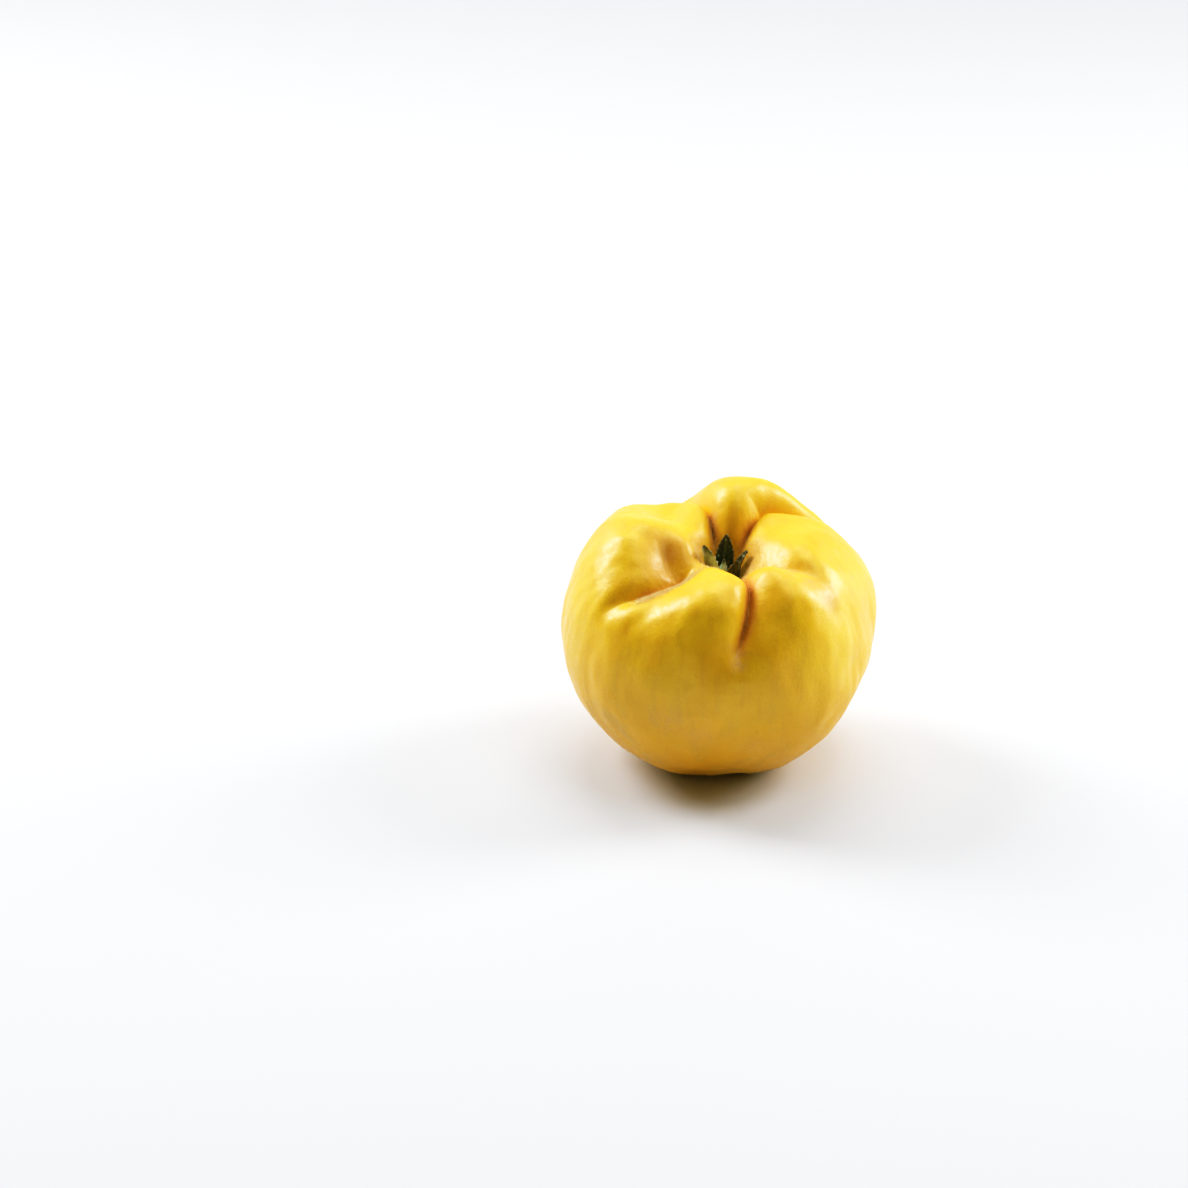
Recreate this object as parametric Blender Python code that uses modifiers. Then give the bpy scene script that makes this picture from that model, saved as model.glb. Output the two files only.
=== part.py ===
"""A whole ripe quince, as picked, standing on its stem end with its calyx upward.

Metres, +Z up. The origin is on the surface that the fruit stands on, under the middle of its
box. Azimuth is measured round the fruit's axis from +X towards +Y, so 270 degrees is the front.
The polar angle is 0 at the eye, where the calyx sits, and 180 degrees in the stem pit underneath.
"""

import math
from collections import namedtuple

import bmesh
import bpy
import numpy as np
from mathutils import Matrix, Vector

# The plain turned body, before its lobes: sizes from the middle of the fruit
CHEEK_RADIUS = 0.0450
TOP_HEIGHT = 0.0407
BASE_HEIGHT = 0.0411
PLUMPNESS = 0.93
BASE_TAPER = 0.02
BASIN_DEPTH = 0.0135
BASIN_RADIUS = 0.0155
EYE_DEPTH = 0.0108
EYE_RADIUS = 0.0079
EYE_STEEPNESS = 3.6
PIT_DEPTH = 0.0120
PIT_RADIUS = 0.0092
PIT_STEEPNESS = 2.4

# The ring inside the flesh that furrows sink towards and swellings rise from
CORE_RADIUS = 0.018
CORE_HEIGHT = 0.002

# The eye end leans forward, and the base stays level
LEAN = math.radians(11.0)
LEAN_AZIMUTH = 286.0
LEAN_FROM = -0.030
LEAN_FULL = 0.012
REST_FLAT = 0.0007

# The mesh of the body: meridians, rings, and how much closer the rings are near the poles
MERIDIANS = 80
RINGS = 52
POLE_CROWDING = 0.62

# Creases and soft valleys that part the lobes. Sharpness 1 folds to a crease, 2 is a soft valley.
# Angles are in degrees. A furrow drifts sideways as it runs down, and fades out at its reach.
Furrow = namedtuple("Furrow", "azimuth drift drift_span depth width sharpness starts reach fade")
FURROWS = (
    Furrow(288.0, -13.0, 34.0, 0.0072, 0.0033, 1.0, 3.0, 72.0, 26.0),
    Furrow(225.0, -14.0, 38.0, 0.0056, 0.0036, 0.95, 11.0, 66.0, 26.0),
    Furrow(211.5, -12.0, 38.0, 0.0028, 0.0070, 2.0, 14.0, 58.0, 34.0),
    Furrow(103.5, 8.0, 40.0, 0.0076, 0.0027, 0.85, 2.0, 74.0, 44.0),
    Furrow(58.5, -34.0, 30.0, 0.0070, 0.0030, 0.9, 2.0, 72.0, 44.0),
    Furrow(324.0, 4.0, 14.0, 0.0052, 0.0052, 1.3, 5.0, 54.0, 32.0),
)
DRIFT_FROM = 25.0
FURROW_OPENING = 12.0
END_SHARPNESS = 2.0
MOST_CREASE_SHARPNESS = 1.5
MERIDIAN_CROWDING = 0.55

# Local swellings (height above 0) and dents (height below 0) on the lobes
Swelling = namedtuple("Swelling", "azimuth polar radius height")
SWELLINGS = (
    Swelling(184.0, 13.2, 0.0050, 0.0012),
    Swelling(207.0, 13.0, 0.0044, 0.0008),
    Swelling(222.0, 13.5, 0.0046, -0.0022),
    Swelling(197.0, 21.0, 0.0074, -0.0026),
    Swelling(211.0, 26.0, 0.0082, -0.0018),
    Swelling(178.0, 44.0, 0.0110, 0.0012),
    Swelling(154.0, 50.0, 0.0150, 0.0016),
    Swelling(328.0, 42.0, 0.0080, 0.0012),
    Swelling(324.0, 55.0, 0.0042, -0.0006),
    Swelling(334.0, 66.0, 0.0045, -0.0007),
    Swelling(236.0, 30.0, 0.0075, -0.0026),
    Swelling(231.0, 40.0, 0.0075, -0.0024),
    Swelling(226.0, 50.0, 0.0070, -0.0016),
    Swelling(252.0, 23.0, 0.0100, -0.0014),
    Swelling(264.0, 38.0, 0.0110, 0.0014),
    Swelling(307.0, 25.0, 0.0075, 0.0014),
    Swelling(309.0, 42.0, 0.0085, 0.0018),
    Swelling(309.0, 57.0, 0.0095, 0.0011),
    Swelling(134.0, 28.0, 0.0105, -0.0058),
    Swelling(124.0, 38.0, 0.0105, -0.0046),
    Swelling(115.0, 53.0, 0.0080, -0.0022),
    Swelling(134.0, 54.0, 0.0090, 0.0009),
    Swelling(92.0, 32.0, 0.0150, 0.0032),
    Swelling(60.0, 40.0, 0.0100, 0.0018),
    Swelling(34.0, 26.0, 0.0090, -0.0036),
    Swelling(330.0, 82.0, 0.0060, -0.0012),
    Swelling(350.0, 74.0, 0.0080, -0.0014),
    Swelling(18.0, 74.0, 0.0150, 0.0022),
    Swelling(348.0, 108.0, 0.0120, -0.0012),
    Swelling(200.0, 122.0, 0.0180, 0.0012),
)

# Ribs that run from the cheeks to the five low points round the pit
RIB_COUNT = 5
RIB_HEIGHT = 0.0006
RIB_AZIMUTH = 239.0
RIB_RISES = (70.0, 120.0)
RIB_FADES = (160.0, 174.0)

# The calyx: a collar with five withered sepals, seated in the floor of the eye
COLLAR_RADIUS = 0.0038
COLLAR_THICKNESS = 0.0011
COLLAR_SEGMENTS = 30
COLLAR_SIDES = 8
SEAT_HEIGHT = 0.007
SEAT_ROOM = 0.0005
SEAT_SIDES = 32
SEPAL_ROOT_RADIUS = 0.0040
SEPAL_THICKNESS = 0.0008
SEPAL_ROWS = 14
SEPAL_COLUMNS = 4
SEPAL_CUPPING = 0.35
TOOTH_COUNT = 5
TOOTH_SHARE = 0.10

# A blade's width, as a share of its widest: at its root, its widening, how blunt, and at its tip
ROOT_SHARE = 0.62
WIDENING = 1.5
BLUNTNESS = 0.8
TIP_SHARE = 0.18
Sepal = namedtuple("Sepal", "azimuth length width lean curl twist")
SEPALS = (
    Sepal(86.0, 0.0122, 0.0066, 1.0, 8.0, 0.0),
    Sepal(211.0, 0.0150, 0.0080, 4.0, 9.0, -22.0),
    Sepal(264.0, 0.0096, 0.0028, 0.0, -8.0, 0.0),
    Sepal(312.0, 0.0098, 0.0072, 2.0, 4.0, 14.0),
    Sepal(14.0, 0.0100, 0.0072, 4.0, 12.0, 26.0),
)

# The dry stamens, with the styles inside them, on a cushion in the middle of the calyx
CUSHION_RADIUS = 0.0026
CUSHION_FLATNESS = 0.45
CUSHION_RISE = 0.0009
ThreadRing = namedtuple("ThreadRing", "count out length radius spread")
THREAD_RINGS = (
    ThreadRing(15, 0.0017, 0.0058, 0.00034, 0.14),
    ThreadRing(5, 0.0008, 0.0044, 0.00043, 0.05),
)
THREAD_SIDES = 5
THREAD_SEGMENTS = 4
THREAD_TAPER = 0.9
THREAD_ROOT_DEPTH = 0.0006
BEND_POWER = 1.6

# How much the threads differ: shares of their length and spread, sway, and place in the ring
LENGTH_RANGE = (0.75, 1.1)
SPREAD_RANGE = (0.2, 1.6)
SWAY_RANGE = (-0.10, 0.10)
PLACE_RANGE = (-0.2, 0.2)
RANDOM_SEED = 7

# The stub of stem in the pit, with its thickness at even steps as shares of its radius
STEM_RADIUS = 0.0019
STEM_SWELL = (1.25, 1.02, 0.90, 0.88, 0.98, 1.22, 1.30, 1.05)
STEM_LENGTH = 0.0088
STEM_BOW = 0.0014
STEM_BOW_SIDEWAYS = 0.4
STEM_ROOT_DEPTH = 0.0022
SOCKET_DEPTH = 0.004

# Clearance between pieces that touch
GAP = 0.0003


def smooth_step(low, high, value):
    """0 below low, 1 above high, and an even rise between them."""
    share = np.clip((value - low) / (high - low), 0.0, 1.0)
    return share * share * (3.0 - 2.0 * share)


def profile(polar):
    """Distance from the axis and height of the plain turned body at a polar angle in radians."""
    up = np.cos(polar)
    top = up > 0.0
    across = CHEEK_RADIUS * np.sin(polar) ** PLUMPNESS
    across = across * (1.0 - BASE_TAPER * smooth_step(0.0, 1.0, -up))
    height = np.where(top, TOP_HEIGHT, BASE_HEIGHT) * up
    eye = BASIN_DEPTH * np.exp(-((across / BASIN_RADIUS) ** 2))
    eye += EYE_DEPTH * np.exp(-((across / EYE_RADIUS) ** EYE_STEEPNESS))
    pit = PIT_DEPTH * np.exp(-((across / PIT_RADIUS) ** PIT_STEEPNESS))
    return across, height + np.where(top, -eye, pit)


def away_from_core(across, height):
    """The direction, as its parts across and up, from the core ring to the skin."""
    run = across - CORE_RADIUS
    rise = height - CORE_HEIGHT
    size = np.hypot(run, rise)
    return run / size, rise / size


def crowd_meridians(azimuth):
    """Draws evenly spread meridians closer together beside the creases."""
    creases = sorted(furrow.azimuth for furrow in FURROWS if furrow.sharpness < MOST_CREASE_SHARPNESS)
    edges = np.array([creases[-1] - 360.0, *creases, creases[0] + 360.0])
    lobe = np.clip(np.searchsorted(edges, azimuth, side="right") - 1, 0, len(edges) - 2)
    low = edges[lobe]
    span = edges[lobe + 1] - low
    share = (azimuth - low) / span
    eased = share - MERIDIAN_CROWDING * np.sin(2.0 * np.pi * share) / (2.0 * np.pi)
    return low + span * eased


def sweep(azimuth, polar):
    """How far each meridian is swept sideways, in degrees, so that it follows its furrow."""
    places = np.array([furrow.azimuth for furrow in FURROWS])
    swept = np.zeros_like(azimuth)
    for index, furrow in enumerate(FURROWS):
        belongs = np.zeros(len(FURROWS))
        belongs[index] = 1.0
        share = np.interp(azimuth, places, belongs, period=360.0)
        along = np.clip((np.degrees(polar) - DRIFT_FROM) / furrow.drift_span, 0.0, 1.0)
        swept += share * furrow.drift * along
    return swept


def furrow_depth(azimuth, polar, across):
    """How deep the furrows cut, by the distance round the fruit from each one."""
    degrees = np.degrees(polar)
    depth = np.zeros_like(azimuth)
    for furrow in FURROWS:
        apart = (azimuth - furrow.azimuth + 180.0) % 360.0 - 180.0
        distance = np.abs(np.radians(apart)) * across
        opens = smooth_step(furrow.starts, furrow.starts + FURROW_OPENING, degrees)
        closes = 1.0 - smooth_step(furrow.reach - furrow.fade, furrow.reach, degrees)
        opened = opens * closes
        sharpness = END_SHARPNESS + (furrow.sharpness - END_SHARPNESS) * opened
        depth += furrow.depth * opened * np.exp(-((distance / furrow.width) ** sharpness))
    return depth


def on_body(azimuth, polar):
    """Points of the plain turned body."""
    across, height = profile(polar)
    angle = np.radians(azimuth)
    return np.stack([across * np.cos(angle), across * np.sin(angle), height], axis=-1)


def swelling_height(points):
    """How far the swellings and dents lift the skin."""
    height = np.zeros(len(points))
    for swelling in SWELLINGS:
        centre = on_body(np.array(swelling.azimuth), np.radians(swelling.polar))
        distance = np.linalg.norm(points - centre, axis=1)
        height += swelling.height * np.exp(-((distance / swelling.radius) ** 2))
    return height


def rib_height(azimuth, polar):
    """Five low ribs on the lower half, which end as the points that the fruit stands on."""
    wave = np.cos(np.radians(RIB_COUNT * (azimuth - RIB_AZIMUTH)))
    degrees = np.degrees(polar)
    window = smooth_step(*RIB_RISES, degrees) * (1.0 - smooth_step(*RIB_FADES, degrees))
    return RIB_HEIGHT * wave * window


def lean_heading():
    """The level direction that the eye end leans towards."""
    return np.array([math.cos(math.radians(LEAN_AZIMUTH)), math.sin(math.radians(LEAN_AZIMUTH))])


def lean_over(points):
    """Leans the points, not at all at the base and fully from the shoulders up."""
    heading = lean_heading()
    turn = LEAN * smooth_step(LEAN_FROM, LEAN_FULL, points[:, 2])
    ahead = points[:, :2] @ heading
    moved = ahead * np.cos(turn) + points[:, 2] * np.sin(turn)
    level = points[:, :2] + (moved - ahead)[:, None] * heading
    up = points[:, 2] * np.cos(turn) - ahead * np.sin(turn)
    return np.column_stack([level, up])


def fruit_points(directions):
    """Moves the points of a unit sphere to the skin of the fruit."""
    spread = np.degrees(np.arctan2(directions[:, 1], directions[:, 0])) % 360.0
    azimuth = crowd_meridians(np.round(spread, 4))
    even = np.arccos(np.clip(directions[:, 2], -1.0, 1.0))
    polar = even - 0.5 * POLE_CROWDING * np.sin(2.0 * even)
    true_azimuth = azimuth + sweep(azimuth, polar)
    body = on_body(true_azimuth, polar)
    across, height = profile(polar)
    out_across, out_up = away_from_core(across, height)
    angle = np.radians(true_azimuth)
    outward = np.column_stack([out_across * np.cos(angle), out_across * np.sin(angle), out_up])
    lift = swelling_height(body) + rib_height(true_azimuth, polar)
    lift -= furrow_depth(azimuth, polar, across)
    return lean_over(body + outward * lift[:, None])


def material(name, colour, roughness):
    """A Principled material with a plain colour."""
    made = bpy.data.materials.new(name)
    made.use_nodes = True
    shader = made.node_tree.nodes["Principled BSDF"]
    shader.inputs["Base Color"].default_value = (*colour, 1.0)
    shader.inputs["Roughness"].default_value = roughness
    shader.inputs["Metallic"].default_value = 0.0
    return made


def new_object(name, mesh, collection, finish=None):
    """An object in its collection, with its material."""
    made = bpy.data.objects.new(name, mesh)
    collection.objects.link(made)
    if finish:
        mesh.materials.append(finish)
    return made


def mesh_from(build, name):
    """A mesh that a bmesh function fills."""
    shape = bmesh.new()
    build(shape)
    mesh = bpy.data.meshes.new(name)
    shape.to_mesh(mesh)
    shape.free()
    return mesh


def move_points(mesh, change):
    """Moves a mesh's vertices by a function on an array of points."""
    points = np.empty(len(mesh.vertices) * 3)
    mesh.vertices.foreach_get("co", points)
    mesh.vertices.foreach_set("co", change(points.reshape(-1, 3)).ravel())
    mesh.update()


def cutter_for(target, mesh, name, cutters):
    """Cuts a seat into the target."""
    cutter = new_object(name, mesh, cutters)
    cutter.hide_render = True
    cutter.display_type = "WIRE"
    cut = target.modifiers.new(name, "BOOLEAN")
    cut.operation = "DIFFERENCE"
    cut.object = cutter
    return cutter


def disc_mesh(name, radius, low, high):
    """A short closed cylinder between two heights."""
    def build(shape):
        bmesh.ops.create_cone(
            shape, cap_ends=True, segments=SEAT_SIDES, radius1=radius, radius2=radius,
            depth=high - low,
        )
        bmesh.ops.translate(shape, verts=shape.verts, vec=(0.0, 0.0, (low + high) / 2.0))

    return mesh_from(build, name)


def make_fruit(collection, finish):
    """The pome: flesh and skin in one solid."""
    mesh = mesh_from(
        lambda shape: bmesh.ops.create_uvsphere(
            shape, u_segments=MERIDIANS, v_segments=RINGS, radius=1.0
        ),
        "fruit",
    )
    move_points(mesh, fruit_points)
    mesh.shade_smooth()
    return new_object("fruit", mesh, collection, finish)


def rest_offset(fruit):
    """The shift that stands the fruit on z = 0 with the middle of its box over the origin."""
    corners = np.array([vertex.co for vertex in fruit.data.vertices])
    low = corners.min(axis=0)
    high = corners.max(axis=0)
    middle = (low + high) / 2.0
    return Vector((-middle[0], -middle[1], -low[2] - REST_FLAT))


def rest_on_floor(fruit, offset):
    """Moves the fruit to its place and presses its lowest points flat."""
    def change(points):
        moved = points + np.array(offset)
        moved[:, 2] = np.maximum(moved[:, 2], 0.0)
        return moved

    move_points(fruit.data, change)


def sepal_mesh(sepal, name):
    """One blade, rooted at the origin and rising along +Z, its outer face towards +X."""
    def build(shape):
        bmesh.ops.create_grid(
            shape, x_segments=SEPAL_COLUMNS, y_segments=SEPAL_ROWS, size=1.0
        )

    def change(points):
        side = points[:, 0]
        along = (points[:, 1] + 1.0) / 2.0
        outline = (ROOT_SHARE + WIDENING * along) * (1.0 - along) ** BLUNTNESS + TIP_SHARE
        teeth = 1.0 - TOOTH_SHARE * np.abs(np.sin(np.pi * TOOTH_COUNT * along)) * np.abs(side)
        width = 0.5 * sepal.width * outline * teeth
        bend = np.radians(sepal.lean + sepal.curl * along)
        turn = np.radians(sepal.twist) * along
        cupped = SEPAL_CUPPING * width * side**2
        x = sepal.length * along * np.sin(bend) - cupped * np.cos(turn) + width * side * np.sin(turn)
        y = width * side * np.cos(turn) + cupped * np.sin(turn)
        z = sepal.length * along * np.cos(bend)
        return np.stack([x, y, z], axis=-1)

    mesh = mesh_from(build, name)
    move_points(mesh, change)
    return mesh


def join_all(base, pieces):
    """Joins a collection of loose pieces to the base with one union, then removes them."""
    union = base.modifiers.new("union", "BOOLEAN")
    union.operation = "UNION"
    union.operand_type = "COLLECTION"
    union.solver = "MANIFOLD"
    union.collection = pieces
    bpy.context.view_layer.update()
    graph = bpy.context.evaluated_depsgraph_get()
    joined = bpy.data.meshes.new_from_object(base.evaluated_get(graph))
    base.modifiers.clear()
    base.data = joined
    for piece in list(pieces.objects):
        bpy.data.objects.remove(piece)
    bpy.data.collections.remove(pieces)


def loose_collection(name):
    """A collection for pieces that a union is about to join."""
    made = bpy.data.collections.new(name)
    bpy.context.scene.collection.children.link(made)
    return made


def make_calyx(collection, finish, place):
    """The collar and its five sepals, joined in one body."""
    bpy.ops.mesh.primitive_torus_add(
        major_radius=COLLAR_RADIUS, minor_radius=COLLAR_THICKNESS,
        major_segments=COLLAR_SEGMENTS, minor_segments=COLLAR_SIDES,
    )
    calyx = bpy.context.object
    for owner in calyx.users_collection:
        owner.objects.unlink(calyx)
    collection.objects.link(calyx)
    calyx.name = "calyx"
    calyx.data.materials.append(finish)
    blades = loose_collection("sepals")
    for index, sepal in enumerate(SEPALS):
        mesh = sepal_mesh(sepal, f"sepal_{index + 1}")
        blade = new_object(f"sepal_{index + 1}", mesh, blades, finish)
        solid = blade.modifiers.new("thickness", "SOLIDIFY")
        solid.thickness = SEPAL_THICKNESS
        solid.offset = 0.0
        round_fruit = Matrix.Rotation(math.radians(sepal.azimuth), 4, "Z")
        out_to_collar = Matrix.Translation((SEPAL_ROOT_RADIUS, 0.0, 0.0))
        blade.matrix_world = round_fruit @ out_to_collar
    join_all(calyx, blades)
    calyx.matrix_world = place
    return calyx


def thread_mesh(name, length, radius, spread, sway):
    """A slender tapering thread that bends outward as it rises."""
    def build(shape):
        bmesh.ops.create_cone(
            shape, cap_ends=True, segments=THREAD_SIDES,
            radius1=radius, radius2=radius * THREAD_TAPER, depth=1.0,
        )
        long_edges = [edge for edge in shape.edges if edge.calc_length() > 0.5]
        bmesh.ops.subdivide_edges(shape, edges=long_edges, cuts=THREAD_SEGMENTS - 1, use_grid_fill=True)

    def change(points):
        along = points[:, 2] + 0.5
        bend = spread * along**BEND_POWER
        x = points[:, 0] + length * bend
        y = points[:, 1] + length * sway * np.sin(np.pi * along)
        z = length * (along - 0.5 * bend * along) - THREAD_ROOT_DEPTH
        return np.stack([x, y, z], axis=-1)

    mesh = mesh_from(build, name)
    move_points(mesh, change)
    return mesh


def make_stamens(collection, finish, place):
    """The dry tuft of stamens round five styles, on a low cushion."""
    draw = np.random.default_rng(RANDOM_SEED)
    mesh = mesh_from(
        lambda shape: bmesh.ops.create_uvsphere(shape, u_segments=20, v_segments=10, radius=1.0),
        "stamens",
    )
    flattened = CUSHION_FLATNESS * CUSHION_RADIUS
    mesh.transform(Matrix.Diagonal((CUSHION_RADIUS, CUSHION_RADIUS, flattened, 1.0)))
    tuft = new_object("stamens", mesh, collection, finish)
    threads = loose_collection("threads")
    for ring in THREAD_RINGS:
        for index in range(ring.count):
            length = ring.length * draw.uniform(*LENGTH_RANGE)
            spread = ring.spread * draw.uniform(*SPREAD_RANGE)
            sway = draw.uniform(*SWAY_RANGE)
            mesh = thread_mesh("thread", length, ring.radius, spread, sway)
            thread = new_object("thread", mesh, threads)
            azimuth = math.radians(360.0 * (index + draw.uniform(*PLACE_RANGE)) / ring.count)
            out_to_ring = Matrix.Translation((ring.out, 0.0, 0.0))
            thread.matrix_world = Matrix.Rotation(azimuth, 4, "Z") @ out_to_ring
    join_all(tuft, threads)
    tuft.matrix_world = place
    return tuft


def make_stem(collection, finish, place):
    """The woody stub, thickest at its root and at the scar where it broke from the twig."""
    line = bpy.data.curves.new("stem", "CURVE")
    line.dimensions = "3D"
    line.bevel_depth = STEM_RADIUS
    line.bevel_resolution = 3
    line.use_fill_caps = True
    spline = line.splines.new("POLY")
    last = len(STEM_SWELL) - 1
    spline.points.add(last)
    for index, (point, radius) in enumerate(zip(spline.points, STEM_SWELL)):
        along = index / last
        bow = STEM_BOW * along**2
        point.co = (bow, STEM_BOW_SIDEWAYS * bow, -STEM_LENGTH * along, 1.0)
        point.radius = radius
    line.materials.append(finish)
    stem = bpy.data.objects.new("stem", line)
    collection.objects.link(stem)
    stem.matrix_world = place
    return stem


def clear_scene():
    """Empties the scene."""
    for old in list(bpy.data.objects):
        bpy.data.objects.remove(old)


def main():
    """Builds the fruit, its calyx, the dry tuft in it, and the stub of stem."""
    clear_scene()
    quince = bpy.data.collections.new("quince")
    cutters = bpy.data.collections.new("cutters")
    bpy.context.scene.collection.children.link(quince)
    bpy.context.scene.collection.children.link(cutters)

    skin = material("quince_skin", (0.83, 0.57, 0.03), 0.42)
    sepal_finish = material("withered_sepal", (0.10, 0.12, 0.04), 0.80)
    dry_finish = material("dry_stamen", (0.13, 0.08, 0.04), 0.85)
    wood = material("stem_wood", (0.23, 0.10, 0.04), 0.75)

    fruit = make_fruit(quince, skin)
    offset = rest_offset(fruit)
    rest_on_floor(fruit, offset)

    eye_floor = TOP_HEIGHT - BASIN_DEPTH - EYE_DEPTH
    ahead = lean_heading()
    leaned = Matrix.Translation(offset) @ Matrix.Rotation(LEAN, 4, (-ahead[1], ahead[0], 0.0))
    in_eye = leaned @ Matrix.Translation((0.0, 0.0, eye_floor))
    calyx_place = in_eye @ Matrix.Translation((0.0, 0.0, 0.5 * COLLAR_THICKNESS))
    make_calyx(quince, sepal_finish, calyx_place)
    make_stamens(quince, dry_finish, in_eye @ Matrix.Translation((0.0, 0.0, CUSHION_RISE)))
    seat_radius = COLLAR_RADIUS + COLLAR_THICKNESS + SEAT_ROOM + GAP
    eye_seat = disc_mesh("eye_seat", seat_radius, -0.5 * COLLAR_THICKNESS - GAP, SEAT_HEIGHT)
    cutter_for(fruit, eye_seat, "eye_seat", cutters).matrix_world = in_eye

    pit_floor = -BASE_HEIGHT + PIT_DEPTH
    in_pit = Matrix.Translation(offset) @ Matrix.Translation((0.0, 0.0, pit_floor))
    make_stem(quince, wood, in_pit @ Matrix.Translation((0.0, 0.0, STEM_ROOT_DEPTH)))
    socket_radius = STEM_SWELL[0] * STEM_RADIUS + GAP
    socket = disc_mesh("stem_socket", socket_radius, -SOCKET_DEPTH, STEM_ROOT_DEPTH + GAP)
    cutter_for(fruit, socket, "stem_socket", cutters).matrix_world = in_pit


main()
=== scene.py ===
"""The looks of a whole ripe quince that stands on its stem end, its calyx upward.

Metres, +Z up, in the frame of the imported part. Azimuth is measured round the fruit's axis from
+X towards +Y, so 270 degrees is the front. The polar angle is 0 at the eye, where the calyx sits,
and 180 degrees in the stem pit underneath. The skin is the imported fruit's own formula on a finer
mesh, with small relief added.
"""

import math
from collections import namedtuple

import bmesh
import bpy
import numpy as np
from mathutils import Matrix, Vector, noise


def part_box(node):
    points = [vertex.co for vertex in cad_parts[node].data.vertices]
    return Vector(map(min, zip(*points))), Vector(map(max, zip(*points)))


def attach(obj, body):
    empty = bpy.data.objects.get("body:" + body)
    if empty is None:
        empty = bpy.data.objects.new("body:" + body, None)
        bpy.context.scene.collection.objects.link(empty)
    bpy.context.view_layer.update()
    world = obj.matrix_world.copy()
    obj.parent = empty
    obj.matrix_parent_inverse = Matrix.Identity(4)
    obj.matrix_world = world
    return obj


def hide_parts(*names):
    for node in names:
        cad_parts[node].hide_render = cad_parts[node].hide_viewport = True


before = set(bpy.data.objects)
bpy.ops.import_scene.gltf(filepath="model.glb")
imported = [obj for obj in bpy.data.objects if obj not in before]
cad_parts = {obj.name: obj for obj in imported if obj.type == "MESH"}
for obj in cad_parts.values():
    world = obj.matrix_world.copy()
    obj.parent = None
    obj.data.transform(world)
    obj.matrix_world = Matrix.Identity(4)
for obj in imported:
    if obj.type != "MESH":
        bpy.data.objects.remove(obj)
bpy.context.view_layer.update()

# The plain turned body, before its lobes: sizes from the middle of the fruit
CHEEK_RADIUS = 0.0450
TOP_HEIGHT = 0.0407
BASE_HEIGHT = 0.0411
PLUMPNESS = 0.93
BASE_TAPER = 0.02
BASIN_DEPTH = 0.0135
BASIN_RADIUS = 0.0155
EYE_DEPTH = 0.0108
EYE_RADIUS = 0.0079
EYE_STEEPNESS = 3.6
PIT_DEPTH = 0.0120
PIT_RADIUS = 0.0092
PIT_STEEPNESS = 2.4

# The ring inside the flesh that furrows sink towards and swellings rise from
CORE_RADIUS = 0.018
CORE_HEIGHT = 0.002

# The eye end leans forward, and the base stays level
LEAN = math.radians(11.0)
LEAN_AZIMUTH = 286.0
LEAN_FROM = -0.030
LEAN_FULL = 0.012
REST_FLAT = 0.0007

# The fine mesh of the skin: meridians, rings, and how much closer the rings are near the poles
MERIDIANS = 400
RINGS = 240
POLE_CROWDING = 0.62

# Creases and soft valleys that part the lobes, with how rusty and how downy each one is.
# Angles are in degrees. A furrow drifts sideways as it runs down, and fades out at its reach.
Furrow = namedtuple(
    "Furrow",
    "azimuth drift drift_span depth width sharpness starts reach fade rust down down_side stained_to",
)
FURROWS = (
    Furrow(288.0, -13.0, 34.0, 0.0072, 0.0033, 1.0, 3.0, 72.0, 26.0, 1.0, 0.12, 0.0, 74.0),
    Furrow(225.0, -14.0, 38.0, 0.0056, 0.0036, 0.95, 11.0, 66.0, 26.0, 0.6, 0.9, 0.0026, 58.0),
    Furrow(211.5, -12.0, 38.0, 0.0028, 0.0070, 2.0, 14.0, 58.0, 34.0, 0.0, 0.0, 0.0, 58.0),
    Furrow(103.5, 8.0, 40.0, 0.0076, 0.0027, 0.85, 2.0, 74.0, 44.0, 0.8, 0.2, 0.0, 30.0),
    Furrow(58.5, -34.0, 30.0, 0.0070, 0.0030, 0.9, 2.0, 72.0, 44.0, 0.8, 0.1, 0.0, 28.0),
    Furrow(324.0, 4.0, 14.0, 0.0052, 0.0052, 1.3, 5.0, 54.0, 32.0, 0.1, 0.2, 0.0, 40.0),
)
DRIFT_FROM = 25.0
STAIN_FADE = 12.0
STAIN_SHARE = 0.6
STAIN_SHARPNESS = 1.2
FURROW_OPENING = 12.0
END_SHARPNESS = 2.0
MOST_CREASE_SHARPNESS = 1.5
MERIDIAN_CROWDING = 0.55

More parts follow.
